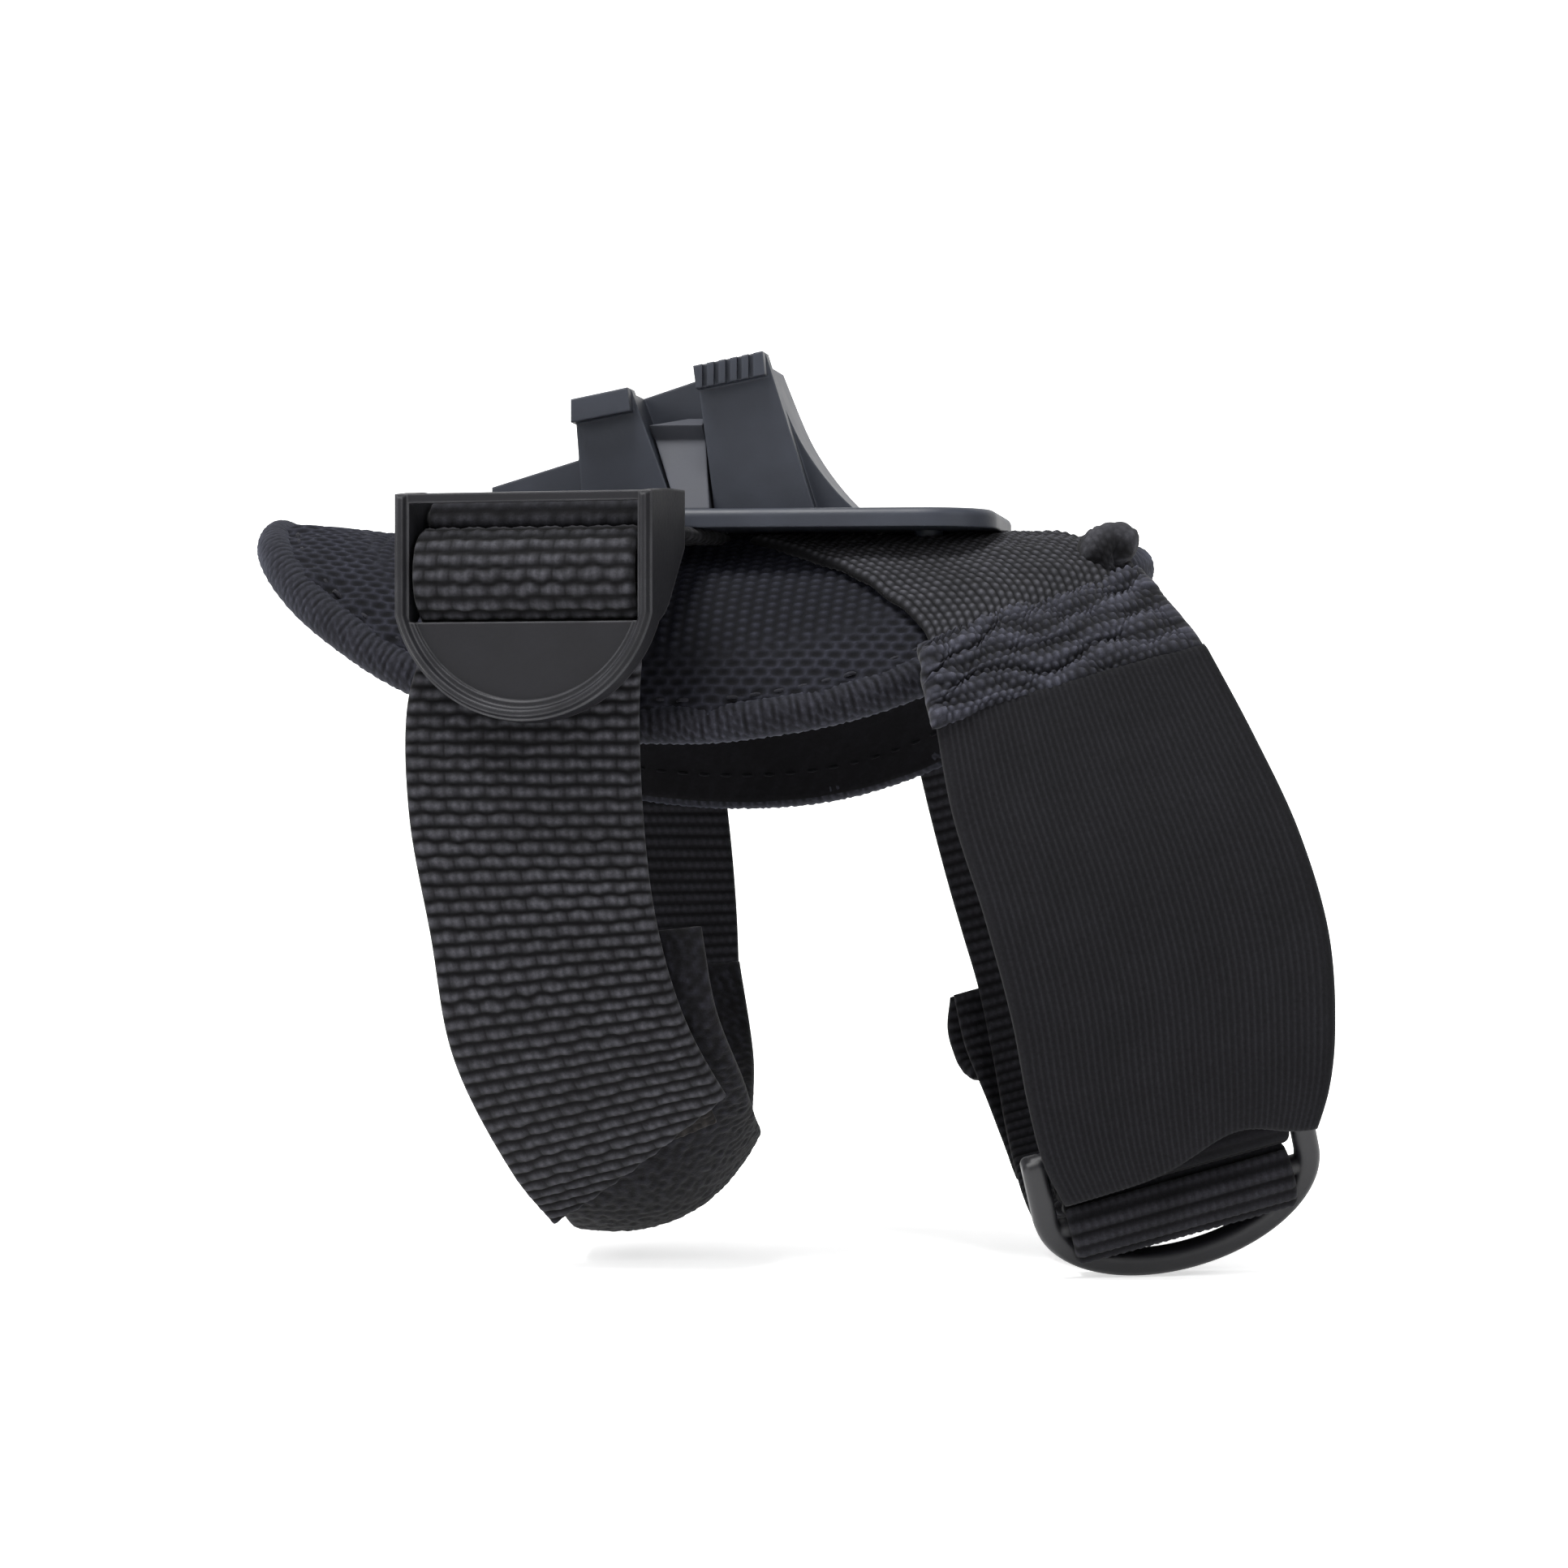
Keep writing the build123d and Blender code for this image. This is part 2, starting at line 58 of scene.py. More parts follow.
def ripple(a, b, seed, low=0.03, high=0.3, waves=22):
    """Smooth irregular waves, about -1 to 1; low and high are in cycles per mm."""
    rng = np.random.default_rng(seed)
    total = np.zeros(np.broadcast(a, b).shape)
    for _ in range(waves):
        size, turn, start = rng.uniform(low, high), rng.uniform(0, 2 * pi), rng.uniform(0, 2 * pi)
        total += np.sin(2 * pi * size * (a * cos(turn) + b * sin(turn)) + start)
    return total / np.sqrt(waves)


def unit(v):
    """Vectors scaled to a length of 1."""
    return v / np.maximum(np.linalg.norm(v, axis=-1, keepdims=True), 1e-9)


def follow(points, count):
    """Smooth curve through the points, at count places evenly spaced along it."""
    p = np.asarray(points, float)
    knot = np.r_[0, np.cumsum(np.linalg.norm(np.diff(p, axis=0), axis=1) ** 0.6)]
    slope = np.gradient(p, knot, axis=0)
    t = np.linspace(0, knot[-1], 60 * len(p))
    i = np.clip(np.searchsorted(knot, t, side="right") - 1, 0, len(p) - 2)
    span = (knot[i + 1] - knot[i])[:, None]
    u = (t - knot[i])[:, None] / span
    q = ((1 + 2 * u) * (1 - u) ** 2 * p[i] + u * (1 - u) ** 2 * span * slope[i]
         + u * u * (3 - 2 * u) * p[i + 1] + u * u * (u - 1) * span * slope[i + 1])
    along = np.r_[0, np.cumsum(np.linalg.norm(np.diff(q, axis=0), axis=1))]
    at = np.linspace(0, along[-1], count)
    return np.stack([np.interp(at, along, q[:, k]) for k in range(q.shape[1])], 1)


def mesh_piece(name, places, faces, relief, strip, material, body, stands_for=()):
    """Mesh object from places in mm; relief sets the painted shade in its colour, darkest in the gaps, and
    strip holds its own cloth coordinates.
    """
    data = bpy.data.meshes.new(name)
    data.from_pydata((np.asarray(places).reshape(-1, 3) * MM).tolist(), [], faces)
    shape = bmesh.new()
    shape.from_mesh(data)
    if shape.calc_volume(signed=True) < 0:
        data.flip_normals()
    shape.free()
    data.polygons.foreach_set("use_smooth", [True] * len(data.polygons))
    heights = data.attributes.new("relief", "FLOAT", "POINT")
    heights.data.foreach_set("value", np.ravel(relief).astype("f"))
    along_cloth = data.attributes.new("strip", "FLOAT_VECTOR", "POINT")
    along_cloth.data.foreach_set("vector", np.ravel(strip).astype("f"))
    data.materials.append(material)
    piece = bpy.data.objects.new(name, data)
    bpy.context.scene.collection.objects.link(piece)
    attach(piece, body)
    if stands_for:
        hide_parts(*stands_for)
    return piece


def loft_faces(rings, round_count):
    """Quads of a tube of rings, each a closed loop of round_count points."""
    i, j = np.meshgrid(np.arange(rings - 1), np.arange(round_count), indexing="ij")
    k = (j + 1) % round_count
    return np.stack([i * round_count + j, i * round_count + k, (i + 1) * round_count + k,
                     (i + 1) * round_count + j], -1).reshape(-1, 4).tolist()


def spread(width, step, radius):
    """Places across a strip: evenly spaced, and closer round its two edges."""
    edge = radius * np.array([0, 0.07, 0.25, 0.55])
    middle = np.linspace(radius, width - radius, max(3, int(width / step)))
    return np.r_[edge, middle, (width - edge)[::-1]]


def ribbon(name, stations, thickness, weave, depth, material, body, stands_for=(), step=0.25,
           across=0.25, under=True, side=1, cut=None, rough=0.0, seed=1):
    """Closed woven strip. Each station is a left and a right edge point, and may add a crown.
    weave(s, v) gives the relief from 0 to 1; side turns the good face over; cut(share across), a share of
    the length, trims the far end."""
    rows = np.asarray(stations, float)
    if rows.shape[1] == 6:
        rows = np.c_[rows, np.zeros(len(rows))]
    rough_line = follow(rows, 200)
    middle = (rough_line[:, :3] + rough_line[:, 3:6]) / 2
    length = np.linalg.norm(np.diff(middle, axis=0), axis=1).sum()
    count = max(4, int(length / step))
    line = follow(rows, count)
    width = np.median(np.linalg.norm(line[:, 3:6] - line[:, :3], axis=1))
    radius = thickness / 2
    v = spread(width, across, radius)
    part = (v / width)[None, :, None]
    s = np.linspace(0, length, count)
    if cut is not None:
        # Each column stops at its own place along
        stop = 1 - cut(v / width)
        where = np.linspace(0, 1, count)[:, None] * stop[None, :] * (count - 1)
        low = np.clip(where.astype(int), 0, count - 2)
        rest = (where - low)[..., None]
        full = line[:, None, :3] * (1 - part) + line[:, None, 3:6] * part
        column = np.broadcast_to(np.arange(len(v))[None, :], low.shape)
        surface = full[low, column] * (1 - rest) + full[low + 1, column] * rest
        s_grid = where / (count - 1) * length
    else:
        surface = line[:, None, :3] * (1 - part) + line[:, None, 3:6] * part
        s_grid = np.broadcast_to(s[:, None], surface.shape[:2])
    v_grid = np.broadcast_to(v[None, :], s_grid.shape)
    normal = side * unit(np.cross(np.gradient(surface, axis=0), np.gradient(surface, axis=1)))
    crown = line[:, 6][:, None] * (1 - (2 * v / width - 1)[None, :] ** 2)
    surface = surface + normal * (crown + rough * ripple(s_grid, v_grid, seed))[..., None]
    normal = side * unit(np.cross(np.gradient(surface, axis=0), np.gradient(surface, axis=1)))
    edge = np.minimum(v, width - v)
    end = np.minimum(s, length - s) + 0.02
    thin_v = np.sqrt(np.clip(1 - (1 - np.minimum(edge / radius, 1)) ** 2, 0, 1))
    thin_s = np.sqrt(np.clip(1 - (1 - np.minimum(end / radius, 1)) ** 2, 0.02, 1))
    half = radius * thin_v[None, :] * thin_s[:, None]
    relief = weave(s_grid, v_grid)
    lift = depth * (relief - 0.5) * np.minimum(edge / (radius * 0.7), 1)[None, :]
    top = surface + normal * (half + lift)[..., None]
    bottom = surface - normal * (half + (lift if under else 0))[..., None]
    inner = slice(len(v) - 2, 0, -1)
    loop = np.concatenate([top, bottom[:, inner]], axis=1)
    shade = np.concatenate([relief, relief[:, inner] if under else 0.4 * relief[:, inner] + 0.2], axis=1)
    flat = np.stack([s_grid, v_grid, np.zeros_like(s_grid)], -1)
    strip = np.concatenate([flat, flat[:, inner]], axis=1)
    around = loop.shape[1]
    faces = loft_faces(count, around)
    tip = len(v) - 1
    for base, turn in ((0, 1), ((count - 1) * around, -1)):
        for j in range(tip):
            a, b = base + j, base + j + 1
            c, d = base + (around - j - 1), base + (around - j) % around
            corner = [a, b, c, d] if 0 < j < tip - 1 else ([a, b, c] if j == 0 else [a, b, d])
            faces.append(corner[::-1] if turn == 1 else corner)
    return mesh_piece(name, loop, faces, shade, strip, material, body, stands_for)


def tube(name, path, outward, wide, tall, weave, depth, material, body, stands_for=(),
         closed=False, around=20):
    """Rolled tape or cord along a path. outward points to its face; wide and tall are its half sizes."""
    path = np.asarray(path, float)
    if closed:
        ahead = np.roll(path, -1, axis=0) - np.roll(path, 1, axis=0)
    else:
        ahead = np.gradient(path, axis=0)
    ahead = unit(ahead)
    out = unit(outward - ahead * np.sum(outward * ahead, axis=1, keepdims=True))
    up = np.cross(ahead, out)
    s = np.r_[0, np.cumsum(np.linalg.norm(np.diff(path, axis=0), axis=1))]
    turn = np.linspace(0, 2 * pi, around, endpoint=False)
    s_grid, turn_grid = np.meshgrid(s, turn, indexing="ij")
    relief = weave(s_grid, turn_grid)
    size = 1 + depth * (relief - 0.5)[..., None]
    shape = out[:, None, :] * (wide * np.cos(turn))[None, :, None] \
        + up[:, None, :] * (tall * np.sin(turn))[None, :, None]
    if not closed:
        taper = np.sqrt(np.clip(1 - (1 - np.minimum(np.minimum(s, s[-1] - s) / wide, 1)) ** 2, 0.03, 1))
        size = size * taper[:, None, None]
    places = path[:, None, :] + shape * size
    strip = np.stack([s_grid, turn_grid * wide, np.zeros_like(s_grid)], -1)
    count = len(path)
    if closed:
        faces = loft_faces(count + 1, around)
        total = count * around
        faces = [[k % total for k in f] for f in faces]
    else:
        faces = loft_faces(count, around)
        faces += [list(range(around))[::-1], [(count - 1) * around + k for k in range(around)]]
    return mesh_piece(name, places, faces, relief, strip, material, body, stands_for)


def stitches(name, path, normals, material, body, pitch=2.6, length=1.8, radius=0.22):
    """Row of sewn stitches lying on a surface along a path."""
    path = np.asarray(path, float)
    along = np.r_[0, np.cumsum(np.linalg.norm(np.diff(path, axis=0), axis=1))]
    places, faces = [], []
    for start in np.arange(0.5, along[-1] - length, pitch):
        at = np.linspace(start, start + length, 5)
        spine = np.stack([np.interp(at, along, path[:, k]) for k in range(3)], 1)
        up = unit(np.stack([np.interp(at, along, normals[:, k]) for k in range(3)], 1))
        sink = np.array([-0.35, 0.05, 0.12, 0.05, -0.35])[:, None]
        thick = radius * np.array([0.5, 1, 1.1, 1, 0.5])
        ahead = unit(np.gradient(spine, axis=0))
        beside = np.cross(ahead, up)
        base = len(places)
        for k in range(5):
            for turn in np.linspace(0, 2 * pi, 6, endpoint=False):
                round_it = up[k] * sin(turn) + beside[k] * cos(turn)
                places.append(spine[k] + up[k] * sink[k] + thick[k] * round_it)
        faces += [[base + q for q in f] for f in loft_faces(5, 6)]
        faces += [[base + q for q in range(6)][::-1], [base + 24 + q for q in range(6)]]
    count = len(places)
    relief = np.full(count, 0.8)
    return mesh_piece(name, places, faces, relief, np.zeros((count, 3)), material, body)


# --- Weaves: relief from 0, in a gap, to 1, on top of a yarn; the cloth paints shade in the gaps from it ---

def basket(s, v):
    """Coarse basket weave: cells of a few strands, staggered from row to row."""
    row = s / 1.5 + 0.06 * ripple(s, v, 14, 0.05, 0.5)
    number = np.floor(row)
    cell = ridge(v / 2.9 + 0.5 * number, 5)
    strand = hump(v / 0.97 + 0.5 * number)
    return ridge(row, 2.0) ** 1.3 * (0.30 + 0.70 * cell) * (0.78 + 0.22 * strand)


def ribbed(s, v):
    """Ribs across the strap."""
    row = s / 1.4
    return ridge(row, 2.0) * (0.76 + 0.24 * hump(v / 0.95 + 0.5 * np.floor(row)))


def twill(s, v):
    """Fine staggered yarns along the strap."""
    column = v / 0.85
    return ridge(column, 2.0) * (0.35 + 0.65 * hump(s / 1.2 + 0.5 * np.floor(column)))


def fine_ribs(s, v):
    """Fine ribs along the band."""
    return hump(v / 0.72)


def crumpled_knit(s, v):
    """Small knit loops, a little uneven."""
    return np.clip(0.8 * hump(v / 0.95 + 0.5 * np.floor(s / 0.9)) * ridge(s / 0.9, 2.0)
                   + 0.2 * (0.5 + 0.5 * ripple(s * 2.2, v, 5, 0.05, 0.25)), 0, 1)


def pile(s, v):
    """Short uneven pile."""
    return np.clip(0.5 + 0.4 * ripple(s, v, 8, 0.3, 1.2, 40), 0, 1)


def knit_tape(s, turn):
    """Slanted knit stitches round a rolled tape."""
    stitch = s / 0.95 + 0.35 * np.abs(turn / (2 * pi) * 6 % 2 - 1) + 0.12 * ripple(s, 2 * turn, 16, 0.05, 0.4)
    return ridge(stitch, 1.8) * (0.55 + 0.45 * hump(turn / (2 * pi) * 12 + 0.5 * np.floor(stitch)))


# --- Materials -------------------------------------------------------------------------------

def node(tree, kind, **inputs):
    """New shader node with the named inputs set."""
    made = tree.nodes.new(kind)
    for key, value in inputs.items():
        made.inputs[key.replace("_", " ")].default_value = value
    return made


FIBRE_SCALE = 2600.0
# Painted shade: relief, raised to this power, darkens the colour in the gaps
GAP_SHADE_POWER = 1.8  # above 1, the yarns' sides go dark as well as the gaps


def cloth(name, gap_shade, yarn, rough=0.9, sheen=0.25, grain=1.0, blotch=0.25, sheen_tint=(1, 1, 1, 1)):
    """Woven or knitted cloth: painted shade darkens the gaps between the lighter yarn tops; uneven dye and
    fine fibres.
    """
    made = bpy.data.materials.new(name)
    made.use_nodes = True
    tree = made.node_tree
    shader = tree.nodes["Principled BSDF"]
    shader.inputs["Sheen Weight"].default_value = sheen
    shader.inputs["Sheen Roughness"].default_value = 0.5
    shader.inputs["Sheen Tint"].default_value = sheen_tint
    shader.inputs["Specular IOR Level"].default_value = 0.1
    # Painted shade: relief mixes the colour from the dark gap shade up to the yarn colour
    relief = tree.nodes.new("ShaderNodeAttribute")
    relief.attribute_name = "relief"
    place = tree.nodes.new("ShaderNodeTexCoord")
    colour = node(tree, "ShaderNodeMix")
    colour.data_type = "RGBA"
    colour.inputs["A"].default_value = (*gap_shade, 1)
    colour.inputs["B"].default_value = (*yarn, 1)
    shade = tree.nodes.new("ShaderNodeMath")
    shade.operation = "POWER"
    shade.inputs[1].default_value = GAP_SHADE_POWER
    tree.links.new(relief.outputs["Fac"], shade.inputs[0])
    tree.links.new(shade.outputs["Value"], colour.inputs["Factor"])
    patches = node(tree, "ShaderNodeTexNoise", Scale=160.0, Detail=4.0)
    fibres = node(tree, "ShaderNodeTexNoise", Scale=FIBRE_SCALE, Detail=3.0, Roughness=0.7)
    for texture in (patches, fibres):
        tree.links.new(place.outputs["Object"], texture.inputs["Vector"])
    tone = node(tree, "ShaderNodeMapRange")
    tone.inputs["From Min"].default_value = 0.3
    tone.inputs["From Max"].default_value = 0.7
    tone.inputs["To Min"].default_value = 1 - blotch
    tone.inputs["To Max"].default_value = 1 + blotch
    tree.links.new(patches.outputs["Fac"], tone.inputs["Value"])
    thread = node(tree, "ShaderNodeMapRange")
    thread.inputs["From Min"].default_value = 0.3
    thread.inputs["From Max"].default_value = 0.7
    thread.inputs["To Min"].default_value = 0.72
    thread.inputs["To Max"].default_value = 1.3
    tree.links.new(fibres.outputs["Fac"], thread.inputs["Value"])
    both = tree.nodes.new("ShaderNodeMath")
    both.operation = "MULTIPLY"
    tree.links.new(tone.outputs["Result"], both.inputs[0])
    tree.links.new(thread.outputs["Result"], both.inputs[1])
    dyed = tree.nodes.new("ShaderNodeVectorMath")
    dyed.operation = "SCALE"
    tree.links.new(colour.outputs["Result"], dyed.inputs[0])
    tree.links.new(both.outputs["Value"], dyed.inputs["Scale"])
    tree.links.new(dyed.outputs["Vector"], shader.inputs["Base Color"])
    shader.inputs["Roughness"].default_value = rough
    bump = node(tree, "ShaderNodeBump", Strength=0.45 * grain, Distance=0.00012)
    tree.links.new(fibres.outputs["Fac"], bump.inputs["Height"])
    tree.links.new(bump.outputs["Normal"], shader.inputs["Normal"])
    return made


GRAIN_SCALE = 2200.0


def plastic(name, base, edge_highlight, rough=0.42, edge=0.00035, grain=0.25, shine_level=0.4):
    """Moulded plastic: fine grain, faint mottling, and a painted highlight that lightens the edges."""
    made = bpy.data.materials.new(name)
    made.use_nodes = True
    tree = made.node_tree
    shader = tree.nodes["Principled BSDF"]
    shader.inputs["IOR"].default_value = 1.42
    shader.inputs["Specular IOR Level"].default_value = shine_level
    place = tree.nodes.new("ShaderNodeTexCoord")
    mottle = node(tree, "ShaderNodeTexNoise", Scale=220.0, Detail=5.0)
    skin = node(tree, "ShaderNodeTexNoise", Scale=GRAIN_SCALE, Detail=2.0)
    for texture in (mottle, skin):
        tree.links.new(place.outputs["Object"], texture.inputs["Vector"])
    # Painted highlight: where the rounded normal turns from the flat one, the colour moves towards the
    # highlight colour
    rounded = tree.nodes.new("ShaderNodeBevel")
    rounded.samples = 4
    rounded.inputs["Radius"].default_value = edge
    flat = tree.nodes.new("ShaderNodeNewGeometry")
    agree = tree.nodes.new("ShaderNodeVectorMath")
    agree.operation = "DOT_PRODUCT"
    tree.links.new(rounded.outputs["Normal"], agree.inputs[0])
    tree.links.new(flat.outputs["Normal"], agree.inputs[1])
    edge_highlight_mask = node(tree, "ShaderNodeMapRange")
    edge_highlight_mask.inputs["From Min"].default_value = 0.99
    edge_highlight_mask.inputs["From Max"].default_value = 0.80
    tree.links.new(agree.outputs["Value"], edge_highlight_mask.inputs["Value"])
    patchy_edge_highlight = tree.nodes.new("ShaderNodeMath")
    patchy_edge_highlight.operation = "MULTIPLY"
    tree.links.new(edge_highlight_mask.outputs["Result"], patchy_edge_highlight.inputs[0])
    tree.links.new(mottle.outputs["Fac"], patchy_edge_highlight.inputs[1])
    colour = node(tree, "ShaderNodeMix")
    colour.data_type = "RGBA"
    colour.inputs["A"].default_value = (*base, 1)
    colour.inputs["B"].default_value = (*edge_highlight, 1)
    tree.links.new(patchy_edge_highlight.outputs["Value"], colour.inputs["Factor"])
    tone = node(tree, "ShaderNodeMapRange")
    tone.inputs["From Min"].default_value = 0.3
    tone.inputs["From Max"].default_value = 0.7
    tone.inputs["To Min"].default_value = 0.88
    tone.inputs["To Max"].default_value = 1.12
    tree.links.new(mottle.outputs["Fac"], tone.inputs["Value"])
    dyed = tree.nodes.new("ShaderNodeVectorMath")
    dyed.operation = "SCALE"
    tree.links.new(colour.outputs["Result"], dyed.inputs[0])
    tree.links.new(tone.outputs["Result"], dyed.inputs["Scale"])
    tree.links.new(dyed.outputs["Vector"], shader.inputs["Base Color"])
    shine = node(tree, "ShaderNodeMapRange")
    shine.inputs["To Min"].default_value = rough - 0.08
    shine.inputs["To Max"].default_value = rough + 0.1
    tree.links.new(mottle.outputs["Fac"], shine.inputs["Value"])
    tree.links.new(shine.outputs["Result"], shader.inputs["Roughness"])
    bump = node(tree, "ShaderNodeBump", Strength=grain, Distance=0.00005)
    tree.links.new(skin.outputs["Fac"], bump.inputs["Height"])
    tree.links.new(rounded.outputs["Normal"], bump.inputs["Normal"])
    tree.links.new(bump.outputs["Normal"], shader.inputs["Normal"])
    return made


# The second colour of each plastic is its painted edge highlight
cradle_plastic = plastic("cradle_plastic", (0.014, 0.0165, 0.024), (0.05, 0.056, 0.07), 0.5)
tongue_plastic = plastic("tongue_plastic", (0.034, 0.036, 0.044), (0.06, 0.064, 0.075), 0.6, shine_level=0.2)
buckle_plastic = plastic("buckle_plastic", (0.0065, 0.0065, 0.008), (0.09, 0.09, 0.096), 0.5, 0.0004, 0.4,
                         shine_level=0.16)
ring_plastic = plastic("ring_plastic", (0.006, 0.006, 0.0075), (0.02, 0.02, 0.022), 0.38, 0.0006)
# Each cloth's first colour is the painted shade in its gaps, the second its yarn colour
coarse_cloth = cloth("coarse_webbing", (0.0005, 0.0005, 0.0008), (0.030, 0.030, 0.035), 0.85, 0.03)
ribbed_cloth = cloth("ribbed_webbing", (0.0012, 0.0012, 0.0017), (0.0135, 0.0135, 0.0165), 0.9, 0.02)
fine_cloth = cloth("fine_webbing", (0.0015, 0.0015, 0.002), (0.036, 0.036, 0.042), 0.9, 0.03)
mesh_cloth = cloth("mesh", (0.0004, 0.0004, 0.0008), (0.0105, 0.0108, 0.0155), 0.85, 0.04,
                   sheen_tint=(0.6, 0.65, 1, 1))
binding_cloth = cloth("binding", (0.0005, 0.0005, 0.0009), (0.023, 0.0234, 0.031), 0.85, 0.05,
                      sheen_tint=(0.7, 0.75, 1, 1))
cuff_cloth = cloth("cuff_mesh", (0.001, 0.001, 0.0018), (0.044, 0.045, 0.060), 0.85, 0.05)
lining_cloth = cloth("lining", (0.0015, 0.0015, 0.002), (0.003, 0.003, 0.004), 0.95, 0.01, 0.6)
neoprene_cloth = cloth("neoprene", (0.0034, 0.0034, 0.0042), (0.0066, 0.0066, 0.0080), 0.95, 0.015, 0.8, 0.12)
loop_cloth = cloth("loop_tape", (0.002, 0.002, 0.0025), (0.008, 0.008, 0.011), 0.95, 0.06, 1.4)
hook_cloth = cloth("hook_tape", (0.004, 0.0035, 0.0035), (0.016, 0.014, 0.013), 0.7, 0.02)
thread_cloth = cloth("thread", (0.006, 0.006, 0.008), (0.012, 0.012, 0.016), 0.8, 0.05)


# --- CAD nodes that keep their own shape -----------------------------------------------------

for node_name, finish in (("mount_base", cradle_plastic), ("latch_tongue", tongue_plastic),
                          ("plate_rivets", cradle_plastic), ("backing_plate", cradle_plastic),
                          ("left_buckle", buckle_plastic), ("right_buckle", ring_plastic)):
    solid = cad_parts[node_name]
    solid.data.materials.clear()
    solid.data.materials.append(finish)


# --- Pad -------------------------------------------------------------------------------------

# Radii are round the limb's axis; PAD_LINE is the middle of the pad's thickness
LIMB_AXIS_Z = -29.0
PAD_LINE = 31.5
CUSHION_TOP = 34.0
CUSHION_UNDERSIDE = 29.9
LINING_TOP = 29.75
LINING_UNDERSIDE = 28.9
pad_middle_x = -1.0
pad_half_length = 50.4
front_reach = 36.5
rear_reach = 44.5


def oval_size(turn):
    """Distance to the pad's edge, in units of its half sizes: blunt on the left, pointed on the right."""
    blunt = 2.1 - 0.2 * np.cos(turn)
    return (np.abs(np.cos(turn)) ** blunt + np.abs(np.sin(turn)) ** blunt) ** (-1 / blunt)


def on_arch(x, arc, radius):
    """Point on the arch over the limb, with the tip on the left lifted a little."""
    angle = arc / PAD_LINE
    lift = 3.8 * np.clip((-20 - x) / 30, 0, 2) ** 1.3
    return np.stack([x, radius * np.sin(angle), LIMB_AXIS_Z + radius * np.cos(angle) + lift], -1)


def pad_place(turn, part):
    """(x, arc) at a direction and a share of the way out to the edge."""
    reach = np.where(np.sin(turn) < 0, front_reach, rear_reach)
    size = oval_size(turn) * part
    return pad_middle_x + pad_half_length * size * np.cos(turn), reach * size * np.sin(turn)


def pad_sheet(name, top_radius, bottom_radius, rim_share, weave, depth, material, stands_for,
              cells, pucker=0.0, crest=0.0):
    """Closed padded layer: thick in the middle and pinched at its edge. crest lifts its ridge."""
    a = np.linspace(-1, 1, cells[0])[:, None] + np.zeros(cells)
    b = np.linspace(-1, 1, cells[1])[None, :] + np.zeros(cells)
    disk_x, disk_y = a * np.sqrt(1 - b * b / 2), b * np.sqrt(1 - a * a / 2)
    turn, part = np.arctan2(disk_y, disk_x), np.hypot(disk_x, disk_y)
    x, arc = pad_place(turn, part * 0.985)
    full = np.clip(1 - part ** 7, 0, 1) ** 0.5
    middle = (top_radius + bottom_radius) / 2
    half = (top_radius - bottom_radius) / 2
    relief = weave(x, arc, part)
    near = np.exp(-((1 - part) / 0.10) ** 2 * 0.9)
    waves = pucker * near * (np.sin(turn * 46) * 0.6 + ripple(x, arc, 3, 0.05, 0.2))
    soft = pucker * 0.5 * ripple(x, arc, 4, 0.02, 0.06) * full
    swell = crest * np.exp(-((x - 4) / 26) ** 4 - (arc / 8.5) ** 2)
    reach = half * (rim_share + (1 - rim_share) * full)
    top = on_arch(x, arc, middle + reach + waves + soft + swell + depth * (relief - 0.5) * full)
    bottom = on_arch(x, arc, middle - reach - 0.5 * waves)
    rows, columns = cells
    number = np.arange(rows * columns).reshape(rows, columns)
    faces = np.stack([number[:-1, :-1], number[1:, :-1], number[1:, 1:], number[:-1, 1:]], -1).reshape(-1, 4)
    below = faces[:, ::-1] + rows * columns
    rim = np.r_[number[:-1, 0], number[-1, :-1], number[:0:-1, -1], number[0, :0:-1]]
    after = np.roll(rim, -1)
    wall = np.stack([rim, rim + rows * columns, after + rows * columns, after], -1)
    flat = np.stack([x, arc, np.zeros_like(x)], -1)
    places = np.concatenate([top.reshape(-1, 3), bottom.reshape(-1, 3)])
    every_face = faces.tolist() + below.tolist() + wall.tolist()
    both = np.r_[np.ravel(relief), np.ravel(relief)]
    return mesh_piece(name, places, every_face, both, np.concatenate([flat, flat]), material, "harness",
                      stands_for)


def spacer_mesh(x, arc, part):
    """Columns of knit loops, which open into small holes near the front edge; the holes are painted with dark
    shade.
    """
    column = x / 1.45
    loops = ridge(column, 2.0) ** 1.2 * (0.25 + 0.75 * hump(arc / 1.3 + 0.5 * np.floor(column)))
    # Painted shade: the holes get low relief, so the cloth colours them with its dark gap shade
    holes = 1 - ridge(x / 2.0 + 0.5 * np.floor(arc / 1.1), 2) * ridge(arc / 1.1, 2)
    open_part = np.clip((part - 0.72) / 0.12, 0, 1)
    return loops * (1 - open_part) + holes * open_part


def smooth_knit(x, arc, part):
    return np.clip(0.5 + 0.25 * ripple(x, arc, 11, 0.3, 0.9), 0, 1)


pad_cushion = pad_sheet("pad_cushion", CUSHION_TOP, CUSHION_UNDERSIDE, 0.42, spacer_mesh, 0.34, mesh_cloth,
                        ("pad_cover", "pad_foam"), (400, 330), 0.35, 1.7)
pad_sheet("pad_inside", LINING_TOP, LINING_UNDERSIDE, 0.9, smooth_knit, 0.05, lining_cloth,
          ("pad_lining",), (150, 120), 0.2)

